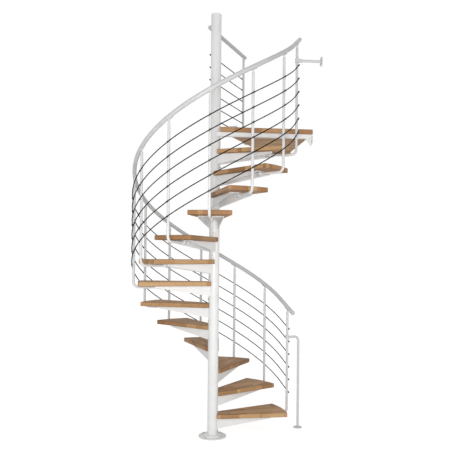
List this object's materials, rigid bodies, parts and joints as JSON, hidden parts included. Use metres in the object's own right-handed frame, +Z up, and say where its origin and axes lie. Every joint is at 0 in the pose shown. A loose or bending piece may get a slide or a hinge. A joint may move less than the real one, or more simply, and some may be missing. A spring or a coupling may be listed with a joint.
{
  "type": "spiral staircase",
  "caption": "White steel spiral staircase with beech treads round a central column, bent balusters, helical handrail, thin cables and a corner landing.",
  "frame": {"origin": "centre of the base flange's underside, on the column's axis at floor level", "axes": "+Z up along the column, +X square to the wall that the landing and the strut are fixed to, +Y towards the back of the landing"},
  "size_m": [1.8068, 1.722, 4.129],
  "materials": {
    "white_steel": "white powder coat, satin",
    "beech": "oiled laminated beech",
    "cable_steel": "dark grey steel cable"
  },
  "bodies": {
    "root": {"baluster_01": "white_steel", "baluster_02": "white_steel", "baluster_03": "white_steel", "baluster_04": "white_steel", "baluster_05": "white_steel", "baluster_06": "white_steel", "baluster_07": "white_steel", "baluster_08": "white_steel", "baluster_09": "white_steel", "baluster_10": "white_steel", "baluster_11": "white_steel", "baluster_12": "white_steel", "baluster_13": "white_steel", "base_flange": "white_steel", "bracket_01": "white_steel", "bracket_02": "white_steel", "bracket_03": "white_steel", "bracket_04": "white_steel", "bracket_05": "white_steel", "bracket_06": "white_steel", "bracket_07": "white_steel", "bracket_08": "white_steel", "bracket_09": "white_steel", "bracket_10": "white_steel", "bracket_11": "white_steel", "bracket_12": "white_steel", "bracket_13": "white_steel", "column": "white_steel", "column_cap": "white_steel", "floor_prop": "white_steel", "handrail": "white_steel", "landing_beam": "white_steel", "landing_cables": "cable_steel", "landing_deck": "beech", "landing_handrail": "white_steel", "landing_posts": "white_steel", "stair_cables": "cable_steel", "tread_01": "beech", "tread_02": "beech", "tread_03": "beech", "tread_04": "beech", "tread_05": "beech", "tread_06": "beech", "tread_07": "beech", "tread_08": "beech", "tread_09": "beech", "tread_10": "beech", "tread_11": "beech", "tread_12": "beech", "tread_13": "beech", "wall_strut": "white_steel"}
  },
  "joints": []
}
